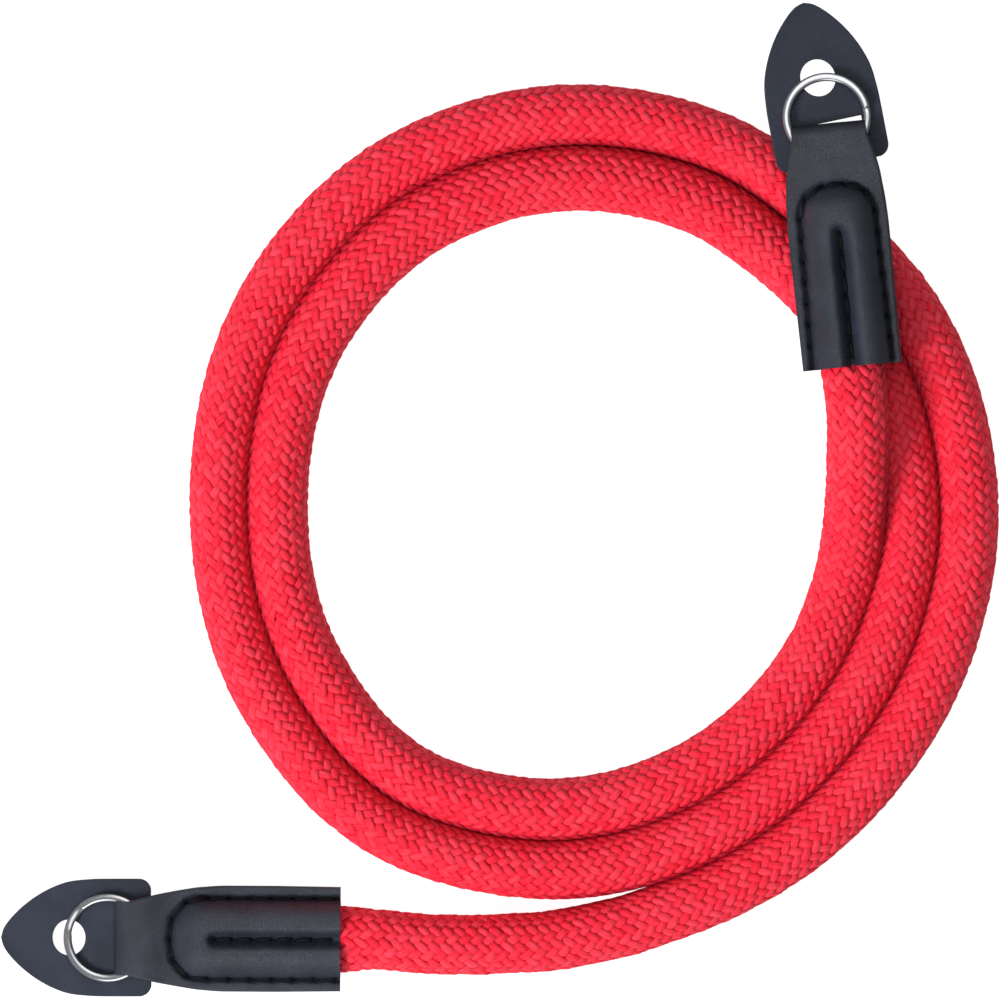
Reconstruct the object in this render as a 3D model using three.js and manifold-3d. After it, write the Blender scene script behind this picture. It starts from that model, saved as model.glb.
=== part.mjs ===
// A coiled camera strap: a braided rope wound into flat turns, with a leather end tab, a split ring
// and a leaf-shaped protector patch at each end. Millimetres, +Z up, lying on the surface z = 0.

import * as THREE from 'three';
import Module from 'manifold-3d';
import { mergeVertices } from 'three/addons/utils/BufferGeometryUtils.js';

const wasm = await Module();
wasm.setup();

// Clearance between pieces that touch on the real strap.
const clearance = 0.25;

// Rope. Its diameter is across the corners of the section.
const ropeDiameter = 9.7;
const ropeSides = 12;
const ropeSteps = 80;
const turnGap = 0.38;

// Coil. The radius is the mean one of the inner turn, to the middle of the rope.
const coilRadius = 50;
const coilCentreX = 18.8;
const coilCentreY = 1.4;
const coilStart = 20;
const coilEnd = 788;
const coilStep = 12;

// The part of each turn, in degrees, where the rope moves out by one pitch.
const shiftStart = 305;
const shiftSpan = 65;

// Rope ends, pressed flat into two lobes inside the sleeves. Height and groove are of the rope.
const pressedHeight = 7.9;
const grooveDepth = 1.9;
const pressLength = 6;
const pressShares = [0, 0.35, 0.65, 0.9];

// Leather strip of the end tabs, folded double. The margin lies outside the seam.
const stripThickness = 1.0;
const seamMargin = 1.95;
const foldWidth = 10.7;
const threadRoom = 0.1;

// Split rings, with the wire's two coils taken together.
const ringDiameter = 14.75;
const ringWireWidth = 1.3;
const ringWireHeight = 1.2;
const ringEdge = 0.3;
const ringSegments = 32;
const ringForward = 1.0;

// Protector patches.
const patchThickness = 1.1;
const patchCorner = 2;
const patchSlotRoom = 0.35;

// What differs between the two ends. Lengths run from the sleeve's mouth to the end of its seam, on to
// the front of the fold, and from the seam's end to the patch's base. Angles are in degrees.
const ends = [
  {
    name: 'a', turnsBelow: 1, mouthX: 66.7, mouthY: 22.2, heading: 95.8,
    pressedWidth: 10.1, seamLength: 30.2, grooveEnd: 22.9, frontLength: 10.4, droop: 8,
    patchBase: 3.6, patchLength: 27, patchWidth: 18.9, patchTurn: 4.6, patchCurl: 1,
    holeDiameter: 6.2, holeToTip: 12.3,
  },
  {
    name: 'b', turnsBelow: 0, mouthX: -18.4, mouthY: -73.2, heading: 179.5,
    pressedWidth: 11, seamLength: 28.3, grooveEnd: 21.5, frontLength: 9.5, droop: 5.5,
    patchBase: 3.4, patchLength: 25.1, patchWidth: 19.3, patchTurn: -0.5, patchCurl: 0.6,
    holeDiameter: 5.8, holeToTip: 11.4,
  },
];

// Half a section of the two humps, from the groove in the middle out to the seam: shares of the half
// width, of the height and of the groove's depth.
const humpProfile = [
  { across: 0, rise: 1, pinch: 1 },
  { across: 0.12, rise: 1, pinch: 0.8 },
  { across: 0.28, rise: 1, pinch: 0.22 },
  { across: 0.5, rise: 1, pinch: 0 },
  { across: 0.7, rise: 0.93, pinch: 0 },
  { across: 0.86, rise: 0.7, pinch: 0 },
  { across: 0.95, rise: 0.42, pinch: 0 },
  { across: 1, rise: 0, pinch: 0 },
];

// The share of their height at which the humps are flattened underneath, where they rest, and the
// share of the seam's length over which the groove fades out on each side of its end.
const restShare = 0.945;
const grooveFade = 0.08;

// Sections of the sleeve from its mouth: shares of the seam's length, of the strip's width, of the
// humps' width and height. The humps end in a round arch.
const sleeveRows = [
  { along: 0, width: 1, spread: 1, hump: 1 },
  { along: 0.35, width: 1, spread: 1, hump: 1 },
  { along: 0.7, width: 1, spread: 1, hump: 1 },
  { along: 0.8, width: 0.985, spread: 0.99, hump: 1 },
  { along: 0.87, width: 0.955, spread: 0.93, hump: 0.96 },
  { along: 0.92, width: 0.935, spread: 0.81, hump: 0.84 },
  { along: 0.96, width: 0.92, spread: 0.64, hump: 0.62 },
  { along: 0.985, width: 0.91, spread: 0.46, hump: 0.36 },
  { along: 1, width: 0.905, spread: 0.3, hump: 0 },
];

// The neck from the seam's end to the fold: shares of the length over which it opens round the ring,
// or of the length from there to the fold, and of the narrowing from the sleeve's width to the fold's.
const neckRows = [
  { opening: 0.4, onward: 0, narrowing: 0.06 },
  { opening: 0.75, onward: 0, narrowing: 0.14 },
  { opening: 1, onward: 0, narrowing: 0.22 },
  { opening: 1, onward: 0.5, narrowing: 0.55 },
  { opening: 1, onward: 0.85, narrowing: 0.85 },
  { opening: 1, onward: 1, narrowing: 1 },
];

// Where in the opening the layers part inside, and how far round the fold, in degrees, its sections lie.
const partingShare = 0.4;
const foldTurns = [30, 55, 75, 86];

// Half the outline of a patch beyond its straight sides: shares of its length and half width.
const leafRows = [
  { along: 0.42, half: 0.99 },
  { along: 0.55, half: 0.95 },
  { along: 0.66, half: 0.85 },
  { along: 0.76, half: 0.71 },
  { along: 0.85, half: 0.54 },
  { along: 0.93, half: 0.34 },
  { along: 0.98, half: 0.16 },
];

// Side view of a patch: shares of its length and of the curl at its tip.
const curlRows = [
  { along: -0.1, drop: 0 },
  { along: 0.5, drop: 0 },
  { along: 0.75, drop: 0.3 },
  { along: 1.1, drop: 1.3 },
];

// The inner turn's outline, clockwise from +X, as shares of the coil's radius.
const coilOutline = [
  { angle: 0, reach: 0.967 },
  { angle: 30, reach: 0.987 },
  { angle: 60, reach: 1.017 },
  { angle: 90, reach: 1.055 },
  { angle: 120, reach: 1.072 },
  { angle: 150, reach: 1.007 },
  { angle: 180, reach: 0.958 },
  { angle: 210, reach: 0.977 },
  { angle: 240, reach: 1.018 },
  { angle: 270, reach: 1.05 },
  { angle: 300, reach: 1.07 },
  { angle: 330, reach: 1.033 },
];

// The rope's way from end a down beside the second turn. The rise is the share of the height between
// the rope lying on the surface and the mouth of end a.
const leadIn = [
  { x: 67.2, y: 12.6, rise: 0.944 },
  { x: 67.2, y: 8.9, rise: 0.84 },
  { x: 67.2, y: 5.1, rise: 0.7 },
  { x: 67.1, y: 1.4, rise: 0.54 },
  { x: 66.9, y: -2.4, rise: 0.373 },
  { x: 66.5, y: -6.3, rise: 0.216 },
  { x: 65.9, y: -10.3, rise: 0.088 },
];

// The rope's way from the outer turn to end b, lying on the surface.
const leadOut = [
  { x: 31.3, y: -70.2 },
  { x: 25.2, y: -71.8 },
  { x: 19.7, y: -72.9 },
  { x: 14.7, y: -73.6 },
  { x: 9.7, y: -73.8 },
  { x: 4.7, y: -74 },
  { x: -0.3, y: -74 },
  { x: -5.3, y: -73.8 },
];

// Sizes that follow from those above.
const ropeRadius = ropeDiameter / 2;
const turnPitch = ropeDiameter + turnGap;
const humpHalfHeight = pressedHeight / 2 + clearance + stripThickness;
const restHalfHeight = restShare * humpHalfHeight;
const marginHalf = stripThickness + threadRoom / 2;
const foldInside = (patchThickness + ringWireHeight + 3 * clearance) / 2;
const foldHalf = foldInside + stripThickness;
const patchMiddle = clearance + patchThickness / 2 - foldInside;
const ringMiddle = foldInside - clearance - ringWireHeight / 2;

const radians = THREE.MathUtils.degToRad;
const mix = THREE.MathUtils.lerp;

// Solids to cut and join, from a geometry and back.
function solidOf(geometry) {
  const bare = geometry.clone();
  bare.deleteAttribute('normal');
  bare.deleteAttribute('uv');
  const merged = mergeVertices(bare, 1e-4);
  return new wasm.Manifold(new wasm.Mesh({
    numProp: 3,
    vertProperties: merged.attributes.position.array,
    triVerts: new Uint32Array(merged.index.array),
  }));
}

function geometryOf(solid) {
  const mesh = solid.getMesh();
  const geometry = new THREE.BufferGeometry();
  geometry.setAttribute('position', new THREE.BufferAttribute(mesh.vertProperties, 3));
  geometry.setIndex(new THREE.BufferAttribute(mesh.triVerts, 1));
  geometry.computeVertexNormals();
  return geometry;
}

// A closed body through sections of equal point counts, with flat caps.
function loft(sections) {
  const count = sections[0].length;
  const points = sections.flat();
  const faces = [];
  for (let row = 0; row + 1 < sections.length; row += 1) {
    for (let k = 0; k < count; k += 1) {
      const here = row * count + k;
      const beside = row * count + ((k + 1) % count);
      faces.push(here, here + count, beside, beside, here + count, beside + count);
    }
  }
  const addCap = (row, isLast) => {
    const middle = new THREE.Vector3();
    sections[row].forEach((point) => middle.add(point));
    points.push(middle.divideScalar(count));
    for (let k = 0; k < count; k += 1) {
      const here = row * count + k;
      const beside = row * count + ((k + 1) % count);
      faces.push(points.length - 1, isLast ? beside : here, isLast ? here : beside);
    }
  };
  addCap(0, false);
  addCap(sections.length - 1, true);
  const geometry = new THREE.BufferGeometry().setFromPoints(points);
  geometry.setIndex(faces);
  return geometry;
}

// A shape drawn in side view, with X forward and Y up, made as wide as it is told.
function acrossWidth(shape, width) {
  const geometry = new THREE.ExtrudeGeometry(shape, { depth: width, bevelEnabled: false, curveSegments: 8 });
  geometry.rotateX(Math.PI / 2);
  geometry.translate(0, width / 2, 0);
  return geometry;
}

// One section of the humps, as [side, height] pairs: over the top, then back underneath. An edge
// beyond the seam gives the flat margins, and without one the two halves meet at a thin edge.
function humpSection({ halfWidth, edge = 0, base = 0, crest, groove, rest }) {
  const half = humpProfile.map(({ across, rise, pinch }) => [
    across * halfWidth,
    base + rise * (crest - base) - pinch * groove,
  ]);
  if (edge > 0) {
    half.push([edge, base]);
  }
  const left = half.slice(1).reverse().map(([side, height]) => [-side, height]);
  const over = [...left, ...half];
  const under = over.map(([side, height]) => [side, -Math.min(height, rest)]).reverse();
  return [...over, ...(edge > 0 ? under : under.slice(1, -1))];
}

function roundSection(radius) {
  const half = humpProfile.map(({ across }) => [across * radius, Math.sqrt(1 - across * across) * radius]);
  const left = half.slice(1).reverse().map(([side, height]) => [-side, height]);
  const over = [...left, ...half];
  const under = over.map(([side, height]) => [side, -height]).reverse();
  return [...over, ...under.slice(1, -1)];
}

function placeSection(section, along) {
  return section.map(([side, height]) => new THREE.Vector3(along, side, height));
}

// Half width of the humps at the seam, and of the strip.
function seamHalf(end) {
  return end.pressedWidth / 2 + clearance + stripThickness;
}

function sleeveHalf(end) {
  return seamHalf(end) + seamMargin;
}

// Height of a sleeve's middle over the surface, resting on it or on the rope's turns.
function middleHeight(end) {
  return end.turnsBelow * (ropeDiameter + clearance) + restHalfHeight;
}

// The depth of the groove fades out past its end.
function grooveAt(end, along) {
  const fade = end.seamLength * grooveFade;
  return grooveDepth * (1 - THREE.MathUtils.smoothstep(along, end.grooveEnd - fade, end.grooveEnd + fade));
}

// Sections of the inside of a sleeve, smaller than its outside by an inset all round.
function insideSections(end, inset) {
  const length = end.seamLength - inset;
  return sleeveRows.map(({ along, spread, hump }) => placeSection(humpSection({
    halfWidth: Math.max(spread * seamHalf(end) - inset, clearance),
    crest: Math.max(hump * (humpHalfHeight - inset), clearance),
    groove: grooveAt(end, along * length),
    rest: restHalfHeight - inset,
  }), along * length));
}

// The length over which the neck opens, to where the patch or the ring begins between its layers.
function openingLength(end) {
  const ringBack = end.frontLength + ringForward - ringDiameter / 2;
  const patchBack = end.patchBase - sleeveHalf(end) * Math.sin(radians(Math.abs(end.patchTurn)));
  return Math.min(ringBack, patchBack) - clearance;
}

// The place of what lies in front of the seam, which droops a little.
function frontPlace(end) {
  return new THREE.Matrix4()
    .makeRotationY(radians(end.droop))
    .setPosition(end.seamLength, 0, 0);
}

function tabOutside(end) {
  const sections = sleeveRows.map(({ along, width, spread, hump }) => placeSection(humpSection({
    halfWidth: spread * seamHalf(end),
    edge: width * sleeveHalf(end),
    base: marginHalf,
    crest: mix(marginHalf, humpHalfHeight, hump),
    groove: grooveAt(end, along * end.seamLength),
    rest: restHalfHeight,
  }), along * end.seamLength));

  const lastRow = sleeveRows[sleeveRows.length - 1];
  const neckHalf = lastRow.width * sleeveHalf(end);
  const opening = openingLength(end);
  const foldCentre = end.frontLength - foldHalf;
  const place = frontPlace(end);
  const addFlat = (along, halfWidth, halfHeight) => {
    const section = humpSection({
      halfWidth: lastRow.spread * halfWidth,
      edge: halfWidth,
      base: halfHeight,
      crest: halfHeight,
      groove: 0,
      rest: halfHeight,
    });
    sections.push(placeSection(section, along).map((point) => point.applyMatrix4(place)));
  };
  for (const row of neckRows) {
    const along = row.opening * opening + row.onward * (foldCentre - opening);
    addFlat(along, mix(neckHalf, foldWidth / 2, row.narrowing), mix(marginHalf, foldHalf, row.opening));
  }
  for (const turn of foldTurns) {
    const angle = radians(turn);
    addFlat(foldCentre + foldHalf * Math.sin(angle), foldWidth / 2, foldHalf * Math.cos(angle));
  }
  return loft(sections);
}

// The room between the neck's layers, open at both sides, for the patch's base and the ring.
function neckRoom(end) {
  const opening = openingLength(end);
  const foldCentre = end.frontLength - foldHalf;
  const shape = new THREE.Shape();
  shape.moveTo(opening * partingShare, 0);
  shape.lineTo(opening, foldInside);
  shape.lineTo(foldCentre, foldInside);
  shape.absarc(foldCentre, 0, foldInside, Math.PI / 2, -Math.PI / 2, true);
  shape.lineTo(opening, -foldInside);
  shape.closePath();
  return acrossWidth(shape, 4 * sleeveHalf(end)).applyMatrix4(frontPlace(end));
}

function ropeRoom(end) {
  const [mouth, ...rest] = insideSections(end, stripThickness);
  const outside = mouth.map((point) => point.clone().setX(-clearance));
  return loft([outside, mouth, ...rest]);
}

function tabGeometry(end) {
  const tab = solidOf(tabOutside(end))
    .subtract(solidOf(ropeRoom(end)))
    .subtract(solidOf(neckRoom(end)));
  return geometryOf(tab);
}

// A ring of the wire's section, with broken edges, lying flat.
function ringGeometry() {
  const outer = ringDiameter / 2;
  const inner = outer - ringWireWidth;
  const top = ringWireHeight / 2;
  const profile = [
    [inner, ringEdge - top],
    [inner + ringEdge, -top],
    [outer - ringEdge, -top],
    [outer, ringEdge - top],
    [outer, top - ringEdge],
    [outer - ringEdge, top],
    [inner + ringEdge, top],
    [inner, top - ringEdge],
    [inner, ringEdge - top],
  ].map(([radius, height]) => new THREE.Vector2(radius, height));
  const geometry = new THREE.LatheGeometry(profile, ringSegments);
  geometry.rotateX(Math.PI / 2);
  return geometry;
}

// The outline of a patch from its base at X = 0, with the hole and the slot for the fold.
function patchShape(end) {
  const half = end.patchWidth / 2;
  const length = end.patchLength;
  const shape = new THREE.Shape();
  shape.moveTo(0, half - patchCorner);
  shape.lineTo(0, patchCorner - half);
  shape.absarc(patchCorner, patchCorner - half, patchCorner, Math.PI, 1.5 * Math.PI, false);
  const flank = leafRows.map((row) => new THREE.Vector2(row.along * length, row.half * half));
  const right = flank.map((point) => new THREE.Vector2(point.x, -point.y));
  shape.splineThru([...right, new THREE.Vector2(length, 0), ...flank.reverse()]);
  shape.absarc(patchCorner, half - patchCorner, patchCorner, 0.5 * Math.PI, Math.PI, false);

  const hole = new THREE.Path();
  hole.absarc(length - end.holeToTip, 0, end.holeDiameter / 2, 0, 2 * Math.PI, true);
  shape.holes.push(hole);

  const { back, front, side } = slotReach(end);
  const slot = new THREE.Path();
  slot.moveTo(back, -side);
  slot.lineTo(back, side);
  slot.lineTo(front, side);
  slot.lineTo(front, -side);
  slot.closePath();
  shape.holes.push(slot);
  return shape;
}

// The slot clears the fold, where it passes down through the patch, at the angle the patch is turned.
function slotReach(end) {
  const foldCentre = end.frontLength - foldHalf;
  const low = Math.abs(patchMiddle) + patchThickness / 2;
  const foldBack = foldCentre + Math.sqrt(foldInside ** 2 - low ** 2);
  const sway = (foldWidth / 2) * Math.sin(radians(Math.abs(end.patchTurn)));
  return {
    back: foldBack - patchSlotRoom - sway - end.patchBase,
    front: end.frontLength + patchSlotRoom + sway - end.patchBase,
    side: foldWidth / 2 + patchSlotRoom,
  };
}

function patchGeometry(end) {
  const edgeOf = (side) => curlRows.map(({ along, drop }) => new THREE.Vector2(
    along * end.patchLength,
    side * patchThickness / 2 - drop * end.patchCurl,
  ));
  const sideView = new THREE.Shape([...edgeOf(-1), ...edgeOf(1).reverse()]);
  const sheet = acrossWidth(sideView, 2 * end.patchWidth);
  const reach = end.patchLength;
  const outline = new THREE.ExtrudeGeometry(patchShape(end), {
    depth: 2 * reach, bevelEnabled: false, curveSegments: 12,
  });
  outline.translate(0, 0, -reach);
  return geometryOf(solidOf(outline).intersect(solidOf(sheet)));
}

// The rope's inner turn, and how many turns further out it lies at an angle counted on from turn to turn.
const innerTurn = new THREE.CatmullRomCurve3(coilOutline.map(({ angle, reach }) => new THREE.Vector3(
  coilRadius * reach * Math.cos(radians(angle)),
  -coilRadius * reach * Math.sin(radians(angle)),
  ropeRadius,
)), true);

function turnsOut(angle) {
  const since = THREE.MathUtils.euclideanModulo(angle - shiftStart, 360);
  return Math.floor((angle - shiftStart) / 360) + THREE.MathUtils.smoothstep(since, 0, shiftSpan);
}

function coilPoint(angle) {
  const point = innerTurn.getPoint(THREE.MathUtils.euclideanModulo(angle, 360) / 360);
  const inward = Math.hypot(point.x, point.y);
  const outward = (inward + turnPitch * turnsOut(angle)) / inward;
  return new THREE.Vector3(coilCentreX + point.x * outward, coilCentreY + point.y * outward, ropeRadius);
}

function ropePath(placeA, placeB) {
  const atMouth = (place) => new THREE.Vector3(-pressLength, 0, 0).applyMatrix4(place);
  const start = atMouth(placeA);
  const finish = atMouth(placeB);
  const points = [start];
  for (const { x, y, rise } of leadIn) {
    points.push(new THREE.Vector3(x, y, mix(ropeRadius, start.z, rise)));
  }
  for (let angle = coilStart; angle <= coilEnd; angle += coilStep) {
    points.push(coilPoint(angle));
  }
  for (const { x, y } of leadOut) {
    points.push(new THREE.Vector3(x, y, ropeRadius));
  }
  points.push(finish);
  return new THREE.CatmullRomCurve3(points, false, 'centripetal');
}

function ropeTube(path) {
  const section = new THREE.Shape();
  for (let k = 0; k < ropeSides; k += 1) {
    const angle = ((k + 0.5) / ropeSides) * 2 * Math.PI;
    const x = ropeRadius * Math.cos(angle);
    const y = ropeRadius * Math.sin(angle);
    if (k === 0) {
      section.moveTo(x, y);
    } else {
      section.lineTo(x, y);
    }
  }
  return new THREE.ExtrudeGeometry(section, { steps: ropeSteps, extrudePath: path });
}

// The rope's end: round where it leaves the tube, pressed flat at the mouth and inside the sleeve.
function ropeEnd(end) {
  const round = roundSection(ropeRadius);
  const inside = insideSections(end, stripThickness + clearance);
  const fullyPressed = pressShares[pressShares.length - 1];
  const blend = (share) => {
    const pressed = THREE.MathUtils.smoothstep(share, 0, fullyPressed);
    return round.map(([side, height], k) => new THREE.Vector3(
      -pressLength * (1 - share),
      mix(side, inside[0][k].y, pressed),
      mix(height, inside[0][k].z, pressed),
    ));
  };
  const joined = placeSection(round, -pressLength - clearance);
  return loft([joined, ...pressShares.map(blend), ...inside]);
}

function ropeGeometry(placeA, placeB) {
  const [endA, endB] = ends;
  const rope = solidOf(ropeTube(ropePath(placeA, placeB)))
    .add(solidOf(ropeEnd(endA).applyMatrix4(placeA)))
    .add(solidOf(ropeEnd(endB).applyMatrix4(placeB)));
  return geometryOf(rope);
}

const ropeRed = new THREE.MeshStandardMaterial({ color: 0xe8243c, roughness: 0.75, metalness: 0 });
const stripLeather = new THREE.MeshStandardMaterial({ color: 0x3a3e48, roughness: 0.5, metalness: 0 });
const patchLeather = new THREE.MeshStandardMaterial({ color: 0x363a43, roughness: 0.58, metalness: 0 });
const ringSteel = new THREE.MeshStandardMaterial({ color: 0xc4c6c9, roughness: 0.2, metalness: 1 });

function addPiece(group, name, geometry, material) {
  const mesh = new THREE.Mesh(geometry, material.clone());
  mesh.name = name;
  group.add(mesh);
  return mesh;
}

function endGroup(end) {
  const group = new THREE.Group();
  group.position.set(end.mouthX, end.mouthY, middleHeight(end));
  group.rotation.z = radians(end.heading);
  addPiece(group, `end_tab_${end.name}`, tabGeometry(end), stripLeather);

  const front = new THREE.Group();
  front.applyMatrix4(frontPlace(end));
  const ring = addPiece(front, `ring_${end.name}`, ringGeometry(), ringSteel);
  ring.position.set(end.frontLength + ringForward, 0, ringMiddle);

  // The patch turns about the middle of its slot.
  const { back, front: slotFront } = slotReach(end);
  const slotMiddle = (back + slotFront) / 2;
  const turned = new THREE.Group();
  turned.position.set(end.patchBase + slotMiddle, 0, patchMiddle);
  turned.rotation.z = radians(end.patchTurn);
  const patch = addPiece(turned, `patch_${end.name}`, patchGeometry(end), patchLeather);
  patch.position.x = -slotMiddle;
  front.add(turned);

  group.add(front);
  group.updateMatrixWorld(true);
  return group;
}

const strap = new THREE.Group();
const endGroups = ends.map(endGroup);
const [placeA, placeB] = endGroups.map((group) => group.matrixWorld);
addPiece(strap, 'rope', ropeGeometry(placeA, placeB), ropeRed);
endGroups.forEach((group) => strap.add(group));

export default strap;
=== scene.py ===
import math

import bmesh
import bpy
import numpy as np
from mathutils import Matrix, Vector, noise


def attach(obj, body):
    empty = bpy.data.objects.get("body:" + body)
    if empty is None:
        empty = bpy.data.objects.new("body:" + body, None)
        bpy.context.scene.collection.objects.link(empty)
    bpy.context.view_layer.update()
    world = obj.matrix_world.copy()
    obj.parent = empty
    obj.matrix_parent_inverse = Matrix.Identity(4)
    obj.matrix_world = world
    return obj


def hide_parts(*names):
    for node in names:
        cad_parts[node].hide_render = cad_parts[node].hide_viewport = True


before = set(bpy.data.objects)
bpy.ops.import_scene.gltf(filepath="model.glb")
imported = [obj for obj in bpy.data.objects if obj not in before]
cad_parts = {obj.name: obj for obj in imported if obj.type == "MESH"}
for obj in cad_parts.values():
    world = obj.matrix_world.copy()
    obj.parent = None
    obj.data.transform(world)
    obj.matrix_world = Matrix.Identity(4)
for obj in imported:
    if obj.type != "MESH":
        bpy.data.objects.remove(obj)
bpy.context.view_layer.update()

# A camera strap: a braided red rope lying in a flat coil, with a leather end tab, a split ring
# and a leaf-shaped protector at each end. Metres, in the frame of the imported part, but the sizes
# of the pieces are given in mm.

mm = 0.001
scene = bpy.context.scene


# helpers

def ease(x, start, end):
    t = np.clip((np.asarray(x, float) - start) / (end - start), 0, 1)
    return t * t * (3 - 2 * t)


def mix(a, b, share):
    return a + (b - a) * share


def linearColour(hexText):
    channels = [int(hexText[i:i + 2], 16) / 255 for i in (1, 3, 5)]
    return [c / 12.92 if c <= 0.04045 else ((c + 0.055) / 1.055) ** 2.4 for c in channels] + [1.0]


def smoothThrough(points, perSpan, closed=False):
    # points on a smooth curve through the given ones
    points = np.asarray(points, float)
    count = len(points)
    if closed:
        padded = np.vstack([points[-1:], points, points[:2]])
        spans = count
    else:
        padded = np.vstack([2 * points[0] - points[1], points, 2 * points[-1] - points[-2]])
        spans = count - 1
    t = np.linspace(0, 1, perSpan, endpoint=False)[:, None]
    out = []
    for i in range(spans):
        p0, p1, p2, p3 = padded[i:i + 4]
        out.append(0.5 * (2 * p1 + (p2 - p0) * t + (2 * p0 - 5 * p1 + 4 * p2 - p3) * t ** 2
                          + (3 * p1 - p0 - 3 * p2 + p3) * t ** 3))
    if not closed:
        out.append(points[-1:])
    return np.vstack(out)


def loftRings(bm, rings):
    # carries a ring of edges through a row of rings by extruding it, and closes both ends
    first = [bm.verts.new(p) for p in rings[0]]
    edges = [bm.edges.new((first[k - 1], first[k])) for k in range(len(first))]
    row = first
    bm.faces.new(first)
    for ring in rings[1:]:
        made = bmesh.ops.extrude_edge_only(bm, edges=edges)["geom"]
        verts = {v for v in made if isinstance(v, bmesh.types.BMVert)}
        follow = {}
        for edge in (e for v in verts for e in v.link_edges):
            a, b = edge.verts
            if (a in verts) != (b in verts):
                new, old = (a, b) if a in verts else (b, a)
                follow[old] = new
        row = [follow[v] for v in row]
        for vert, place in zip(row, ring):
            vert.co = place
        edges = [bm.edges.get((row[k - 1], row[k])) for k in range(len(row))]
    bm.faces.new(row)


def finishMesh(bm, name, smooth=True):
    bmesh.ops.recalc_face_normals(bm, faces=bm.faces)
    for face in bm.faces:
        face.smooth = smooth
    mesh = bpy.data.meshes.new(name)
    bm.to_mesh(mesh)
    bm.free()
    piece = bpy.data.objects.new(name, mesh)
    scene.collection.objects.link(piece)
    return piece


def cutAway(piece, cutters):
    # cuts rooms and holes out of a piece and removes the cutters
    for cutter in cutters:
        cut = piece.modifiers.new("cut", "BOOLEAN")
        cut.operation = "DIFFERENCE"
        cut.solver = "EXACT"
        cut.object = cutter
    shown = piece.evaluated_get(bpy.context.evaluated_depsgraph_get())
    mesh = bpy.data.meshes.new_from_object(shown)
    piece.modifiers.clear()
    piece.data = mesh
    for cutter in cutters:
        bpy.data.objects.remove(cutter)


def setSharp(piece, angle=42):
    # shades a piece smooth but for edges that turn by more than the angle
    bm = bmesh.new()
    bm.from_mesh(piece.data)
    bmesh.ops.remove_doubles(bm, verts=bm.verts, dist=0.002 * mm)
    for face in bm.faces:
        face.smooth = True
    limit = math.radians(angle)
    for edge in bm.edges:
        edge.smooth = not (len(edge.link_faces) == 2 and edge.calc_face_angle(0) > limit)
    bm.to_mesh(piece.data)
    bm.free()


def addNode(tree, kind, inputs=None, **settings):
    node = tree.nodes.new(kind)
    for name, value in settings.items():
        setattr(node, name, value)
    for name, value in (inputs or {}).items():
        socket = node.inputs[name]
        if isinstance(value, bpy.types.NodeSocket):
            tree.links.new(value, socket)
        else:
            socket.default_value = value
    return node


def newMaterial(name):
    material = bpy.data.materials.new(name)
    material.use_nodes = True
    tree = material.node_tree
    return material, tree, tree.nodes["Principled BSDF"]


# camera

view = {
    "pixelsPerMm": 6.0,        # of the picture, which is 1000 pixels wide
    "centre": (8.0, 0.1),      # what the middle of the picture looks at, in mm
    "height": 1500.0,          # a long lens straight above, in mm over the middle of the rope
    "middle": 5.0,             # height of the rope's middle
    "sensor": 36.0,
}


def makeCamera():
    across = 1000 / view["pixelsPerMm"]
    camera = bpy.data.cameras.new("camera")
    camera.sensor_width = view["sensor"]
    camera.lens = view["sensor"] * view["height"] / across
    camera.clip_end = 20
    holder = bpy.data.objects.new("camera", camera)
    x, y = view["centre"]
    holder.location = (x * mm, y * mm, (view["height"] + view["middle"]) * mm)
    scene.collection.objects.link(holder)
    scene.camera = holder


makeCamera()
print("camera ready")


# rope

rope = {
    "radius": 5.16,            # over the crowns of the yarns
    "lift": 5.05,              # of the middle over the surface
    # the distance between turns: its mean, the part that goes round twice a turn, and once a turn
    "turnPitch": (10.08, -0.33, -0.3),
    # girth at shares of the length: thicker at the far side of each turn, thinner round the outer one
    "girth": ((0, 1.0), (0.22, 1.01), (0.28, 1.06), (0.33, 1.06), (0.41, 0.96), (0.6, 0.95), (0.66, 1.0),
              (0.7, 1.0), (0.75, 0.96), (0.825, 0.98), (1, 0.98)),
    "coilCentre": (18.8, 1.4),
    "coilRadius": 50.0,
    "coilAngles": (20, 788, 12),
    "shift": (305, 65),        # where each turn moves out, and over how many degrees
    # the inner turn's outline every 30 degrees, clockwise from +X, as shares of the coil's radius
    "outline": (0.967, 0.987, 1.017, 1.055, 1.072, 1.007, 0.958, 0.975, 1.012, 1.044, 1.064, 1.031),
    # the way down from end a: x, y and the share of the height of its mouth
    "leadIn": ((67.2, 12.6, 0.944), (67.2, 8.9, 0.84), (67.2, 5.1, 0.7), (67.1, 1.4, 0.54),
               (66.9, -2.4, 0.373), (66.5, -6.3, 0.216), (65.9, -10.3, 0.088)),
    # the way along the surface to end b
    "leadOut": ((31.3, -70.2), (25.2, -71.8), (19.7, -72.9), (14.7, -73.6), (9.7, -73.8), (4.7, -74),
                (-0.3, -74), (-5.3, -73.8)),
    "pressLength": 7.0,        # over which it is pressed flat in front of each mouth
    "pressedHalf": 3.85,       # half its height there
    "groove": (0.62, 0.24),    # between its two lobes in a sleeve: share of the height, and width
    "grooveFade": (-1.2, 1.4),
    "hiddenLength": 24.0,      # sewn in inside a sleeve
    "yarnsHidden": 9.0,        # how far the single yarns run on inside
    "coreRadius": 4.35,
    "coreStep": 1.6,
    "coreSides": 20,
    "apart": (10.6, 13.5),     # distances from touching another turn to being clear of it
    "ownStretch": 40,          # what is nearer than this along the rope isn't another turn
}

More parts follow.
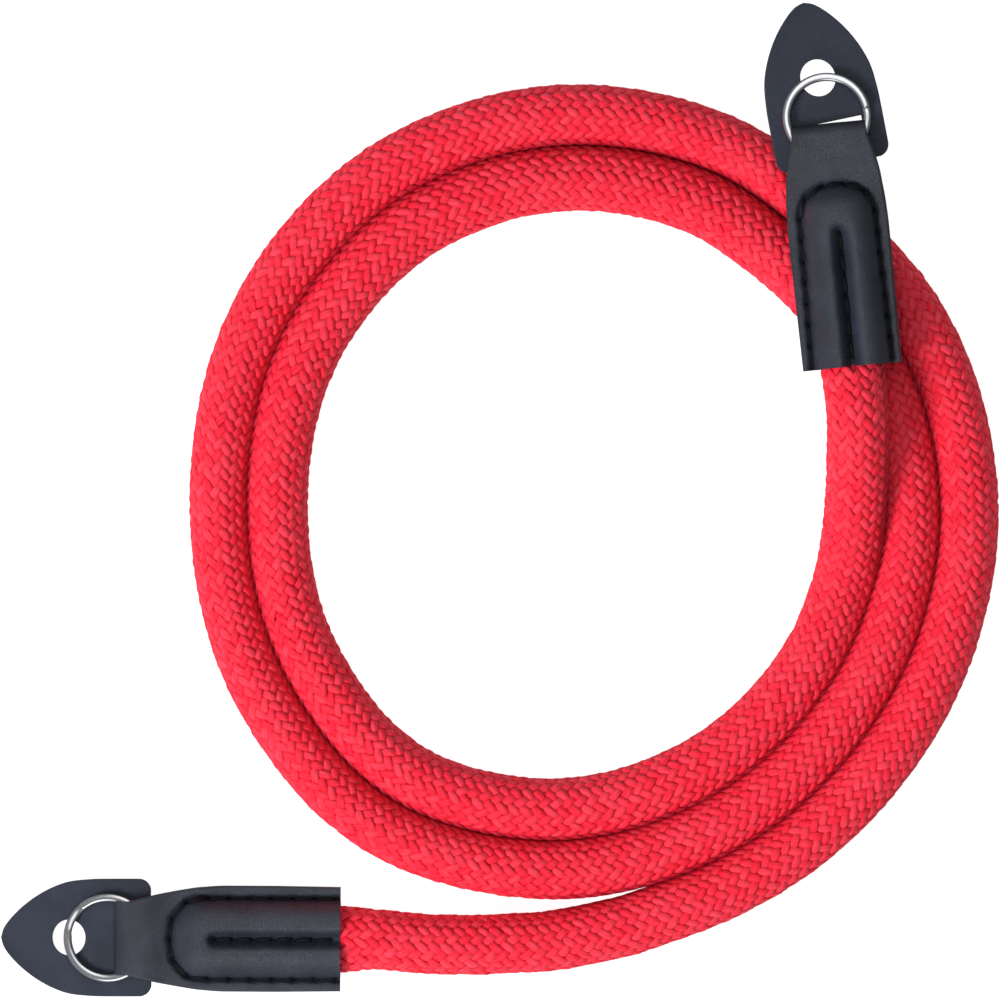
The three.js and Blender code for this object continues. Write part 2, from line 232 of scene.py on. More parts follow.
braid = {
    "yarns": 20,               # each way round
    "lead": 40.7,              # length of the rope in which a yarn goes round once
    "width": 1.42,
    "thickness": 0.76,
    "wave": 0.38,              # how far a yarn rises and dips between its neighbours
    "touch": 0.46,             # how far it bulges where two turns touch
    "touchSide": (0.9, 0.99),  # from where on, as a share of the way out to the side
    # painted shade: the flanks between two turns are coloured a darker red
    "shade": 0.6,              # of the flanks between two turns
    "shadeSide": (0.8, 1),
    "uneven": 0.05,            # of the yarn's height in mm and of its share of width
    "sway": 0.016,             # sideways, in radians round the rope
    "slope": 37.9,             # of a yarn to the rope, in degrees
    "perPiece": 8,
    # a yarn's section, across and outward, as shares of its width and thickness
    "section": ((-0.5, -0.1), (-0.36, 0.38), (0, 0.5), (0.36, 0.38), (0.5, -0.1), (0, -0.5)),
}

endTabs = {
    "a": {"mouth": (66.35, 22.2), "heading": 95.8, "middle": 14.864, "ropeWidth": 10.7,
          "seamHalf": (6.45, 5.95), "seamLength": 30.2, "grooveEnd": 22.9, "frontLength": 10.4, "droop": 8.0,
          "patchBase": 3.6, "patchLength": 27.8, "patchWidth": 18.9, "patchTurn": 4.6,
          "patchCurl": 1.0, "hole": (6.5, 5.85), "holeToTip": 13.0, "slotSlant": 0.35,
          "seed": 3.0, "split": 257, "wind": -1, "creaseDepth": 0.08, "wrinkle": (15.3, -9.0, -3.2),
          # the strip's half width at each distance from the mouth
          "strip": ((-1, 8.15), (12, 8.28), (23.3, 8.4), (27.6, 8.22), (31.8, 7.8), (34, 7.35),
                    (36.1, 6.85), (37.8, 6.3), (39.6, 5.92), (42, 5.85))},
    "b": {"mouth": (-18.6, -73.1), "heading": 179.7, "middle": 4.914, "ropeWidth": 11.5,
          "seamHalf": (6.6, 6.6), "seamLength": 28.3, "grooveEnd": 21.5, "frontLength": 9.5, "droop": 5.5,
          "patchBase": 3.4, "patchLength": 25.3, "patchWidth": 19.6, "patchTurn": 0.5,
          "patchCurl": 0.6, "hole": (5.7, 6.0), "holeToTip": 11.5, "slotSlant": 0.0,
          "seed": 11.0, "split": -27, "wind": 1, "creaseDepth": 0.03, "wrinkle": None,
          "strip": ((-1, 8.65), (10.6, 8.8), (20, 8.8), (24, 8.5), (27.9, 7.85), (30.6, 7.3),
                    (33.6, 6.55), (35.5, 6.1), (36.7, 5.92), (40, 5.85))},
}


def endPlace(end):
    # the place of an end's own frame: +X from the mouth to the tip, in mm
    turn = Matrix.Rotation(math.radians(end["heading"]), 4, "Z")
    return Matrix.Translation((*end["mouth"], end["middle"])) @ turn


def coilPoint(angle, innerTurn):
    around = (angle % 360) / 360 * len(innerTurn)
    x = np.interp(around, range(len(innerTurn) + 1), [*innerTurn[:, 0], innerTurn[0, 0]])
    y = np.interp(around, range(len(innerTurn) + 1), [*innerTurn[:, 1], innerTurn[0, 1]])
    start, span = rope["shift"]
    turns = math.floor((angle - start) / 360) + float(ease((angle - start) % 360, 0, span))
    mean, twice, once = rope["turnPitch"]
    turn = math.radians(angle)
    pitch = mean + twice * math.cos(2 * turn) + once * math.sin(turn)
    out = 1 + pitch * turns / math.hypot(x, y)
    return (rope["coilCentre"][0] + x * out, rope["coilCentre"][1] + y * out, rope["lift"])


def ropeRoute():
    angles = np.radians(np.arange(0, 360, 30))
    reach = rope["coilRadius"] * np.array(rope["outline"])
    innerTurn = smoothThrough(np.stack([reach * np.cos(angles), -reach * np.sin(angles)], 1), 30, True)
    placeA, placeB = endPlace(endTabs["a"]), endPlace(endTabs["b"])
    mouthHeight = endTabs["a"]["middle"]
    hidden = (rope["hiddenLength"], rope["hiddenLength"] / 2, 3, -6)
    points = [placeA @ Vector((along, 0, 0)) for along in hidden]
    points += [(x, y, mix(rope["lift"], mouthHeight, rise)) for x, y, rise in rope["leadIn"]]
    start, end, step = rope["coilAngles"]
    points += [coilPoint(angle, innerTurn) for angle in range(start, end + 1, step)]
    points += [(x, y, rope["lift"]) for x, y in rope["leadOut"]]
    points += [placeB @ Vector((along, 0, 0)) for along in hidden[::-1]]
    return smoothThrough([tuple(p) for p in points], 24)


def alongRoute(route, step):
    # evenly spaced points on the route, with their sideways and upward directions
    length = np.r_[0, np.cumsum(np.linalg.norm(np.diff(route, axis=0), axis=1))]
    count = int(round(length[-1] / step)) + 1
    at = np.linspace(0, length[-1], count)
    line = np.stack([np.interp(at, length, route[:, k]) for k in range(3)], 1)
    ahead = np.gradient(line, axis=0)
    for _ in range(6):
        ahead[1:-1] = (ahead[:-2] + 2 * ahead[1:-1] + ahead[2:]) / 4
    ahead /= np.linalg.norm(ahead, axis=1)[:, None]
    side = np.cross(ahead, (0, 0, 1))
    side /= np.linalg.norm(side, axis=1)[:, None]
    up = np.cross(side, ahead)
    return at, line, side, up


def pressing(at, total):
    # how wide, how high and how deeply grooved the section is along the rope
    girth = np.interp(at / total, *zip(*rope["girth"]))
    wide = girth.copy()
    high = girth.copy()
    groove = np.zeros_like(at)
    for end, fromMouth in (("a", at - rope["hiddenLength"]), ("b", total - rope["hiddenLength"] - at)):
        share = 1 - ease(fromMouth, -1, rope["pressLength"])
        half = endTabs[end]["ropeWidth"] / 2 / rope["radius"]
        wide += (half - wide) * share
        high += (rope["pressedHalf"] / rope["radius"] - high) * share
        groove += rope["groove"][0] * (1 - ease(fromMouth, *rope["grooveFade"]))
    return wide, high, groove


def onRope(line, side, up, shape, angle, radius):
    wide, high, groove = shape
    c, s = np.cos(angle), np.sin(angle)
    dip = 1 - groove * np.exp(-(c / rope["groove"][1]) ** 2)
    return line + side * (wide * radius * c)[:, None] + up * (high * dip * radius * s)[:, None]


def makeCore(route):
    at, line, side, up = alongRoute(route, rope["coreStep"])
    shape = pressing(at, at[-1])
    sides = rope["coreSides"]
    rings = np.stack([
        onRope(line, side, up, shape, np.full(len(at), 2 * math.pi * k / sides), rope["coreRadius"])
        for k in range(sides)
    ], 1)
    bm = bmesh.new()
    loftRings(bm, [[Vector(p) * mm for p in ring] for ring in rings])
    return finishMesh(bm, "rope_core"), line


def besideOthers(line, side):
    # for each point of the route, how closely another turn lies on its left and right
    rows = np.arange(0, len(line), 4)
    spacing = np.linalg.norm(line[1] - line[0])
    apart = line[None, rows, :] - line[rows, None, :]
    distance = np.linalg.norm(apart, axis=2)
    farAway = 99
    distance[np.abs(rows[None, :] - rows[:, None]) * spacing < rope["ownStretch"]] = farAway
    toSide = np.einsum("ijk,ik->ij", apart, side[rows])
    near = []
    for sign in (-1, 1):
        reach = np.where(toSide * sign > 0, distance, farAway).min(axis=1)
        near.append(np.interp(np.arange(len(line)), rows, 1 - ease(reach, *rope["apart"])))
    return near


def slowNoise(rand, count, samples):
    # a smooth random wander, about one rise or dip in the given number of samples
    knots = rand.normal(0, 1, count // samples + 4)
    return np.interp(np.arange(count) / samples, np.arange(len(knots)), knots)


def makeYarns(route):
    yarns, lead, uneven = braid["yarns"], braid["lead"], braid["uneven"]
    at, line, side, up = alongRoute(route, lead / (4 * yarns))
    shape = pressing(at, at[-1])
    hidden = rope["hiddenLength"] - rope["yarnsHidden"]
    kept = (at > hidden) & (at < at[-1] - hidden)
    at, line, side, up = at[kept], line[kept], side[kept], up[kept]
    shape = [s[kept] for s in shape]
    nearLeft, nearRight = besideOthers(line, side)
    middle = rope["radius"] - braid["wave"] - braid["thickness"] / 2
    rand = np.random.default_rng(7)
    count, corners = len(at), len(braid["section"])
    rows = np.arange(count - 1)[:, None] * corners
    k = np.arange(corners)[None, :]
    beside = (k + 1) % corners
    quads = np.stack([rows + k, rows + corners + k, rows + corners + beside, rows + beside], -1)
    quads = quads.reshape(-1, 4)
    allYarns = [(hand, i) for hand in (1, -1) for i in range(yarns)]
    pieces = []
    for first in range(0, len(allYarns), braid["perPiece"]):
        verts, faces, tones, crowns, alongs, shades = [], [], [], [], [], []
        for hand, i in allYarns[first:first + braid["perPiece"]]:
            angle = 2 * math.pi * (i / yarns + hand * at / lead)
            column = angle * yarns / math.pi
            wave = hand * np.sin((column + 0.5) * math.pi / 2)
            crown = wave * (1.25 - 0.25 * wave ** 2)
            angle = angle + braid["sway"] * slowNoise(rand, count, 5)
            toSide = np.cos(angle)
            touch = np.maximum(nearLeft * ease(-toSide, *braid["touchSide"]),
                               nearRight * ease(toSide, *braid["touchSide"]))
            radius = middle + braid["wave"] * crown * (1 - 0.8 * touch) + braid["touch"] * touch
            radius += uneven * slowNoise(rand, count, 4) * (1 - touch)
            place = onRope(line, side, up, shape, angle, radius)
            ahead = np.gradient(place, axis=0)
            ahead /= np.linalg.norm(ahead, axis=1)[:, None]
            inner = onRope(line, side, up, shape, angle, radius * 0.5)
            out = place - inner
            out -= ahead * np.sum(out * ahead, axis=1)[:, None]
            out /= np.linalg.norm(out, axis=1)[:, None]
            across = np.cross(ahead, out)
            base = len(verts) * count * corners
            width = braid["width"] * (1 + uneven * crown + uneven * slowNoise(rand, count, 5))
            ring = np.stack([
                place + across * (x * width)[:, None] + out * (y * braid["thickness"])
                for x, y in braid["section"]
            ], 1)
            verts.append(ring.reshape(-1, 3) * mm)
            faces.append(quads + base)
            tones.append(np.full(count * corners, rand.uniform()))
            # how high the yarn lies at each point; its material paints shade where it lies low
            crowns.append(np.repeat(0.5 + 0.5 * crown, corners))
            # painted shade on the flanks that face another turn
            flank = np.maximum(nearLeft * ease(-toSide, *braid["shadeSide"]),
                               nearRight * ease(toSide, *braid["shadeSide"]))
            shades.append(np.repeat(braid["shade"] * flank, corners))
            alongs.append(np.repeat(at / math.cos(math.radians(braid["slope"])), corners))
        points = np.vstack(verts)
        quadsAll = np.vstack(faces)
        name = f"rope_yarns_{first // braid['perPiece'] + 1}"
        mesh = bpy.data.meshes.new(name)
        caps = []
        for n in range(len(verts)):
            start = n * count * corners
            caps += [list(range(start, start + corners)),
                     list(range(start + count * corners - 1, start + (count - 1) * corners - 1, -1))]
        mesh.vertices.add(len(points))
        mesh.vertices.foreach_set("co", points.ravel())
        loops = np.r_[quadsAll.ravel(), np.array(caps).ravel()]
        sizes = np.r_[np.full(len(quadsAll), 4), np.full(len(caps), corners)]
        starts = np.r_[0, np.cumsum(sizes)[:-1]]
        mesh.loops.add(len(loops))
        mesh.loops.foreach_set("vertex_index", loops)
        mesh.polygons.add(len(sizes))
        mesh.polygons.foreach_set("loop_start", starts)
        mesh.polygons.foreach_set("loop_total", sizes)
        mesh.polygons.foreach_set("use_smooth", np.ones(len(sizes), bool))
        mesh.update(calc_edges=True)
        for label, values in (("tone", tones), ("crown", crowns), ("shade", shades)):
            attribute = mesh.attributes.new(label, "FLOAT", "POINT")
            attribute.data.foreach_set("value", np.concatenate(values))
        around = np.tile(np.arange(corners) / corners, len(points) // corners)
        spread = np.stack([np.concatenate(alongs), around], 1)
        uv = mesh.uv_layers.new(name="yarn")
        uv.data.foreach_set("uv", spread[loops].ravel())
        piece = bpy.data.objects.new(name, mesh)
        scene.collection.objects.link(piece)
        pieces.append(piece)
    return pieces


def makeYarnMaterial():
    # soft multifilament yarn, dyed red: matt, with pale streaks along each yarn, a painted highlight
    # of its filaments that some yarns get more of at random, and painted shade where it dips and on
    # the flanks where two turns touch. The filaments are too fine to show, so the streaks are drawn
    # about 0.3 mm wide.
    material, tree, shader = newMaterial("dyed_braid_yarn")
    uv = addNode(tree, "ShaderNodeUVMap", uv_map="yarn")
    streakPlace = addNode(tree, "ShaderNodeMapping", {"Vector": uv.outputs["UV"], "Scale": (0.6, 14, 1)})
    streaks = addNode(tree, "ShaderNodeTexNoise", {"Vector": streakPlace.outputs["Vector"], "Scale": 1.0,
                                                   "Detail": 2.0, "Roughness": 0.6})
    crown = addNode(tree, "ShaderNodeAttribute", attribute_name="crown")
    tone = addNode(tree, "ShaderNodeAttribute", attribute_name="tone")
    # painted shade: the yarn turns a darker red where it dips under its neighbours
    depth = addNode(tree, "ShaderNodeMapRange", {"Value": crown.outputs["Fac"], "From Min": 0.3,
                                                 "From Max": 1.0})
    body = addNode(tree, "ShaderNodeMix", {"Factor": depth.outputs["Result"], "A": linearColour("#b80018"),
                                           "B": linearColour("#f21c36")}, data_type="RGBA")
    # painted highlight: pale streaks along the filaments, which the random per-yarn tone makes some yarns
    # take more of
    lift = addNode(tree, "ShaderNodeMath", {0: tone.outputs["Fac"], 1: 0.25}, operation="MULTIPLY")
    mottle = addNode(tree, "ShaderNodeMath", {0: streaks.outputs["Fac"], 1: lift.outputs["Value"]},
                     operation="ADD")
    fibreHighlight = addNode(tree, "ShaderNodeMapRange", {"Value": mottle.outputs["Value"], "From Min": 0.42,
                                                 "From Max": 0.92, "To Min": 0.0, "To Max": 0.38})
    colour = addNode(tree, "ShaderNodeMix", {"Factor": fibreHighlight.outputs["Result"], "A": body.outputs["Result"],
                                             "B": linearColour("#ff687c")}, data_type="RGBA")
    # painted shade: flanks next to another turn are mixed towards a dark red
    shade = addNode(tree, "ShaderNodeAttribute", attribute_name="shade")
    shaded = addNode(tree, "ShaderNodeMix", {"Factor": shade.outputs["Fac"], "A": colour.outputs["Result"],
                                             "B": linearColour("#7c0018")}, data_type="RGBA")
    bump = addNode(tree, "ShaderNodeBump", {"Height": streaks.outputs["Fac"], "Strength": 0.5,
                                            "Distance": 0.12 * mm})
    tree.links.new(shaded.outputs["Result"], shader.inputs["Base Color"])
    tree.links.new(bump.outputs["Normal"], shader.inputs["Normal"])
    shader.inputs["Roughness"].default_value = 0.6
    shader.inputs["Specular IOR Level"].default_value = 0.32
    return material


def makeCoreMaterial():
    # the inner yarns, painted a dark red as shade, that show only as dark gaps
    material, tree, shader = newMaterial("shaded_core_yarn")
    place = addNode(tree, "ShaderNodeTexCoord")
    mottle = addNode(tree, "ShaderNodeTexNoise", {"Vector": place.outputs["Object"], "Scale": 1 / (1.5 * mm)})
    colour = addNode(tree, "ShaderNodeMix", {"Factor": mottle.outputs["Fac"], "A": linearColour("#8e0018"),
                                             "B": linearColour("#a80420")}, data_type="RGBA")
    tree.links.new(colour.outputs["Result"], shader.inputs["Base Color"])
    shader.inputs["Roughness"].default_value = 0.9
    return material


route = ropeRoute()
core, coreLine = makeCore(route)
core.data.materials.append(makeCoreMaterial())
yarnPieces = makeYarns(route)
yarnMaterial = makeYarnMaterial()
for piece in yarnPieces:
    piece.data.materials.append(yarnMaterial)
for piece in (core, *yarnPieces):
    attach(piece, "root")
    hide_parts("rope")


# end tabs: one leather strip folded round the ring and sewn round the rope's end

strip = {
    "thickness": 1.0,
    "clearance": 0.25,
    "humpHalf": 5.2,           # crest over the middle of the sleeve
    "restHalf": 4.914,         # flattened underneath
    "marginHalf": 1.05,
    "foldHalf": 2.525,
    "foldInside": 1.525,
    "archLength": 5.2,         # round end of the humps
    "archPower": 2.3,
    "slopeLength": 7.0,
    "broadGroove": (1.15, 1.35),    # depth and width of each
    "tightGroove": (1.1, 0.9),
    "seamGroove": (0.5, 0.58),
    "stitch": 3.55,
    "pit": (0.5, 0.6),
    "edge": 0.22,              # rounding of the cut edge
    "wrinkle": 0.09,
    "roomArch": 5.2,           # round end of the hollow
    "step": 0.36,
    "placesAbove": 76,
    "placesBelow": 44,
}

thread = {"girth": 0.52, "flat": 0.8, "lift": 0.12, "sink": 0.42, "rings": 7, "corners": 8}


def seamHalf(end, along=0.0):
    # half the distance between the two straight sides of the seam
    start, finish = end["seamHalf"]
    return mix(start, finish, np.clip(np.asarray(along, float) / end["seamLength"], 0, 1))


def sleeveHalf(end):
    return end["strip"][0][1]


def stripHalf(end, along):
    # half width of the strip, from the mouth on
    at, value = zip(*end["strip"])
    fine = np.arange(-1, end["seamLength"] + end["frontLength"] + 2, 0.1)
    smooth = np.convolve(np.pad(np.interp(fine, at, value), 10, "edge"), np.ones(21) / 21, "valid")
    return np.interp(along, fine, smooth)


def seamDistance(end, along, side):
    # distance in from the seam, at the level of the margin, and negative outside it
    half = seamHalf(end, along)
    archStart = end["seamLength"] - strip["archLength"]
    power = strip["archPower"]
    reach = np.maximum(along - archStart, 0) / strip["archLength"]
    return half * (1 - ((np.abs(side) / half) ** power + reach ** power) ** (1 / power))


def seamPath(end):
    # points along the seam, up one side, round the arch and down the other
    archStart = end["seamLength"] - strip["archLength"]
    t = np.linspace(0, math.pi, 61)
    c, s = np.cos(t), np.sin(t)
    power = 2 / strip["archPower"]
    along = archStart + strip["archLength"] * s ** power
    arch = np.stack([along, seamHalf(end, along) * np.sign(c) * np.abs(c) ** power], 1)
    first = float(seamHalf(end, 0.6))
    return np.vstack([[0.6, first], arch, [0.6, -first]])


def spacedAlong(points, spacing):
    length = np.r_[0, np.cumsum(np.linalg.norm(np.diff(points, axis=0), axis=1))]
    count = max(int(round(length[-1] / spacing)), 1)
    at = np.linspace(0, length[-1], count + 1)
    return np.stack([np.interp(at, length, points[:, k]) for k in range(points.shape[1])], 1)


def archSlope(fromArch):
    # the humps end in a dome towards the round end of the seam
    left = 1 - np.clip(np.asarray(fromArch, float) / strip["slopeLength"], 0, 1)
    return 0.25 + 0.75 * np.sqrt(1 - left ** 2.2)


def humpRise(distance, half):
    # the humps' profile across, from the groove to the seam
    across = 1 - np.clip(distance / half, 0, 1)
    return np.interp(across, (0, 0.3, 0.42, 0.55, 0.67, 0.78, 0.87, 0.94, 0.98, 1),
                     (1, 0.99, 0.96, 0.9, 0.81, 0.68, 0.53, 0.36, 0.2, 0))


def grooveDepth(end, along, side):
    fade = 1 - ease(along, end["grooveEnd"] - 2.2, end["grooveEnd"] + 2.2)
    sharpFade = 1 - ease(along, end["grooveEnd"] - 0.7, end["grooveEnd"] + 0.7)
    broad, broadWidth = strip["broadGroove"]
    tight, tightWidth = strip["tightGroove"]
    return (broad * fade * np.exp(-(side / broadWidth) ** 2)
            + tight * sharpFade * np.exp(-(side / tightWidth) ** 2))


def skinHeight(end, along, side, holes, above):
    # height of the strip's outer face over the middle of the sleeve
    seam = end["seamLength"]
    distance = seamDistance(end, along, side)
    rise = humpRise(distance, seamHalf(end, along)) * (distance > 0) * archSlope(seam - along)
    height = strip["marginHalf"] + (strip["humpHalf"] - strip["marginHalf"]) * rise
    height -= grooveDepth(end, along, side) * (distance > 0.6)
    neckEnd = seam + neckOpening(end) + 2.2
    height += (strip["foldHalf"] - strip["marginHalf"]) * ease(along, seam - 0.8, neckEnd)
    depth, width = strip["seamGroove"]
    inSleeve = 1 - ease(along, seam + 0.3, seam + 1.2)
    height -= depth * np.exp(-((distance + 0.05) / width) ** 2) * inSleeve
    pit, pitWidth = strip["pit"]
    near = (along[..., None] - holes[:, 0]) ** 2 + (side[..., None] - holes[:, 1]) ** 2
    height -= pit * np.exp(-near / pitWidth ** 2).sum(-1)
    edge = stripHalf(end, along) - np.abs(side)
    height -= strip["edge"] * np.exp(-(edge / strip["edge"]) ** 2) * (distance < 0.3)
    height += creaseHeight(end, along, side)
    if not above:
        height = np.minimum(height, strip["restHalf"])
    return height


def creaseHeight(end, along, side):
    # fine creases that run along the strip, just behind the front of the fold
    front = end["seamLength"] + end["frontLength"]
    window = end["creaseDepth"] * ease(along, front - 5.5, front - 2.5)
    if not np.any(window > 0.001):
        return np.zeros_like(along)
    crease = [noise.noise(Vector((s * 2.1 + end["seed"], a * 0.1, 0.5))) for a, s in zip(along, side)]
    return window * np.array(crease)


def neckOpening(end):
    # distance from the seam to where the neck's two layers part
    ringBack = end["frontLength"] + splitRing["forward"] - splitRing["outer"]
    patchBack = end["patchBase"] - sleeveHalf(end) * math.sin(math.radians(abs(end["patchTurn"])))
    return min(ringBack, patchBack) - strip["clearance"]


def seamHoles(end):
    around = spacedAlong(seamPath(end), strip["stitch"])
    middle = spacedAlong(np.array([[1.2, 0], [end["grooveEnd"] - 0.4, 0]]), strip["stitch"])
    return around, middle


def bendForward(end, along, height):
    # carries a length along the strip and a height into the end's frame, past the droop
    droop = math.radians(end["droop"])
    fine = np.arange(0, end["seamLength"] + end["frontLength"] + 4, 0.1)
    angle = droop * ease(fine, end["seamLength"] - 2, end["seamLength"] + 2)
    x = np.r_[0, np.cumsum(0.1 * np.cos(angle))[:-1]]
    z = -np.r_[0, np.cumsum(0.1 * np.sin(angle))[:-1]]
    lean = np.interp(along, fine, angle)
    forward = np.interp(along, fine, x) + height * np.sin(lean)
    return forward, np.interp(along, fine, z) + height * np.cos(lean)


def acrossPlaces(half, seam, count):
    # places across the strip, closer together at the edge, the seam and the groove
    t = np.linspace(-1, 1, count)
    dense = 1 + 1.4 * np.exp(-((np.abs(t) - seam / half) / 0.07) ** 2) + 1.2 * np.exp(-(t / 0.09) ** 2)
    dense += 1.2 * np.exp(-((np.abs(t) - 1) / 0.04) ** 2)
    total = np.r_[0, np.cumsum((dense[1:] + dense[:-1]) / 2)]
    return np.interp(np.linspace(0, total[-1], count), total, t)


def makeTab(name, end):
    seam, front = end["seamLength"], end["frontLength"]
    around, middle = seamHoles(end)
    holes = np.vstack([around, middle])
    foldCentre = seam + front - strip["foldHalf"]
    straight = np.linspace(0, foldCentre, int(foldCentre / strip["step"]))
    rings = []
    share = acrossPlaces(sleeveHalf(end), seamHalf(end), strip["placesAbove"])
    lower = acrossPlaces(sleeveHalf(end), seamHalf(end), strip["placesBelow"])
    for along in straight:
        half = stripHalf(end, along)
        points = []
        for above, places in ((True, share), (False, lower[::-1])):
            side = places * half
            here = np.full(len(side), along)
            height = skinHeight(end, here, side, holes, above)
            wrinkle = np.array([noise.noise(Vector((along * 0.4 + end["seed"], s * 0.28, 2 * above)))
                                + 0.3 * noise.noise(Vector((along * 0.8, s * 0.7, end["seed"])))
                                for s in side])
            height = height + strip["wrinkle"] * wrinkle
            x, z = bendForward(end, here, height if above else -height)
            points += [(a, s, b) for a, s, b in zip(x, side, z)]
        rings.append(points)
    for turn in np.radians(np.arange(8, 89, 8)):
        half = stripHalf(end, foldCentre)
        along = foldCentre + strip["foldHalf"] * math.sin(turn)
        points = []
        for above, places in ((True, share), (False, lower[::-1])):
            side = places * (half - 0.1 * math.sin(turn))
            height = np.full(len(side), strip["foldHalf"] * math.cos(turn) * (1 if above else -1))
            wave = [noise.noise(Vector((along * 0.5 + end["seed"], s * 0.28, 2.0))) for s in side]
            x, z = bendForward(end, np.full(len(side), along), height)
            points += [(a + 0.05 * w, s, b) for a, s, b, w in zip(x, side, z, wave)]
        rings.append(points)
    place = endPlace(end)
    bm = bmesh.new()
    loftRings(bm, [[(place @ Vector(p)) * mm for p in ring] for ring in rings])
    tab = finishMesh(bm, name)
    cutAway(tab, [makeRopeRoom(end), makeNeckRoom(end)])
    setSharp(tab)
    return tab


def makeRopeRoom(end):
    # the hollow of the sleeve, which the pressed rope fills
    thickness, roundEnd = strip["thickness"], strip["roomArch"]
    half = end["seamHalf"][1] - thickness
    length = end["seamLength"] - thickness
    rings = []
    across = np.linspace(-1, 1, 31)
    straight = np.linspace(0.5, length - roundEnd, 9)
    for along in np.r_[-1.0, 0.0, straight, length - np.linspace(4.6, 0.2, 9)]:
        arch = math.sqrt(max(1 - max(along - (length - roundEnd), 0) ** 2 / roundEnd ** 2, 0.01))
        side = across * half * arch
        rise = humpRise((1 - np.abs(across)) * half, half)
        top = (strip["humpHalf"] - thickness) * rise * arch * archSlope(length - along)
        top = top - grooveDepth(end, max(along, 0.0), side)
        top = np.maximum(top, 0.05)
        low = np.minimum(top, strip["restHalf"] - thickness)
        ring = [(along, s, z) for s, z in zip(side, top)]
        ring += [(along, s, -z) for s, z in list(zip(side, low))[-2:0:-1]]
        rings.append(ring)
    place = endPlace(end)
    bm = bmesh.new()
    loftRings(bm, [[(place @ Vector(p)) * mm for p in ring] for ring in rings])
    return finishMesh(bm, "rope_room")


def frontPlace(end):
    # the place of the neck's own frame: +X from the end of the seam to the tip
    lean = Matrix.Rotation(math.radians(end["droop"]), 4, "Y")
    return endPlace(end) @ Matrix.Translation((end["seamLength"], 0, 0)) @ lean


def makeNeckRoom(end):
    # the room between the two layers of the neck, open at both sides
    inside = strip["foldInside"]
    opening = neckOpening(end)
    centre = end["frontLength"] - strip["foldHalf"]
    turns = np.radians(np.arange(90, -91, -15))
    outline = [(0.4 * opening, 0), (opening, inside)]
    outline += [(centre + inside * math.cos(t), inside * math.sin(t)) for t in turns]
    outline += [(opening, -inside)]
    place = frontPlace(end)
    bm = bmesh.new()
    rings = [[(place @ Vector((x, side, z))) * mm for x, z in outline] for side in (-14, 14)]
    loftRings(bm, rings)
    return finishMesh(bm, "neck_room")


def makeThread(name, end):
    # stitches of black thread, along the seam and in the groove, above and below
    around, middle = seamHoles(end)
    holes = np.vstack([around, middle])
    place = endPlace(end)
    rand = np.random.default_rng(int(end["seed"]))
    bm = bmesh.new()
    for line in (around, middle):
        for a, b in zip(line[:-1], line[1:]):
            for above in (True, False):
                bulk, slant = rand.uniform(0.85, 1.2), rand.uniform(0.2, 0.6)
                t = np.linspace(0.06, 0.94, thread["rings"])
                spot = a + (b - a) * t[:, None]
                run = (b - a) / np.linalg.norm(b - a)
                swerve = np.array([-run[1], run[0]]) * slant
                spot = spot + swerve * (t[:, None] - 0.5) * (1 if above else -1)
                height = skinHeight(end, spot[:, 0], spot[:, 1], holes, above)
                height = height + thread["lift"] - thread["sink"] * (2 * np.abs(t - 0.5)) ** 4
                sign = 1 if above else -1
                x, z = bendForward(end, spot[:, 0], sign * height)
                centre = [Vector((p, q[1], r)) for p, q, r in zip(x, spot, z)]
                rings = []
                for k, middlePoint in enumerate(centre):
                    ahead = (centre[min(k + 1, len(t) - 1)] - centre[max(k - 1, 0)]).normalized()
                    sideways = ahead.cross(Vector((0, 0, 1))).normalized()
                    upward = sideways.cross(ahead) * thread["flat"]
                    girth = thread["girth"] * bulk * (0.6 + 0.4 * math.sin(math.pi * t[k]))
                    rings.append([
                        (place @ (middlePoint + (sideways * math.cos(q) + upward * math.sin(q)) * girth)) * mm
                        for q in np.linspace(0, 2 * math.pi, thread["corners"], endpoint=False)
                    ])
                loftRings(bm, rings)
    return finishMesh(bm, name)


# protector patches: a leaf of leather with a hole and a slot for the fold

leaf = {
    "thickness": 1.1,
    "middle": -0.725,          # under the middle of the fold
    "corner": 2.0,
    "slotRoom": 0.3,           # behind the fold
    "slotFront": 0.02,
    "slotSide": 0.04,
    # half width beyond the straight sides, as shares of the length and of half the width
    "flank": ((0.0, 1.0), (0.3, 1.0), (0.42, 0.99), (0.55, 0.95), (0.66, 0.85), (0.76, 0.71), (0.85, 0.54),
              (0.93, 0.34), (0.98, 0.165), (1.0, 0.0)),
    "rimRound": 0.18,
    "wave": 0.16,
    "wrinkle": (0.13, 0.45),   # depth and width
    "rows": 76,
    "places": 40,
}


def slotReach(end):
    # back, front and half width of the slot, from the leaf's base
    centre = end["frontLength"] - strip["foldHalf"]
    low = abs(leaf["middle"]) + leaf["thickness"] / 2
    foldBack = centre + math.sqrt(strip["foldInside"] ** 2 - low ** 2)
    half = end["strip"][-1][1]
    sway = 0.5 * half * math.sin(math.radians(abs(end["patchTurn"])))
    back = foldBack - leaf["slotRoom"] - sway - end["patchBase"]
    front = end["frontLength"] + leaf["slotFront"] + sway - end["patchBase"]
    return back, front, half + leaf["slotSide"]


def patchPlace(end):
    back, front, _ = slotReach(end)
    slotMiddle = (back + front) / 2
    turn = Matrix.Rotation(math.radians(end["patchTurn"]), 4, "Z")
    lift = Matrix.Translation((end["patchBase"] + slotMiddle, 0, leaf["middle"]))
    return frontPlace(end) @ lift @ turn @ Matrix.Translation((-slotMiddle, 0, 0))


def leafHalf(end, along):
    # half width of the leaf at a distance from its base
    length, half = end["patchLength"], end["patchWidth"] / 2
    rows = np.array(leaf["flank"]) * (length, half)
    outline = smoothThrough(rows, 16)
    widths = np.interp(along, outline[:, 0], outline[:, 1])
    corner = leaf["corner"]
    inCorner = np.clip((corner - along) / corner, 0, 1)
    return widths - corner * (1 - np.sqrt(1 - inCorner ** 2))


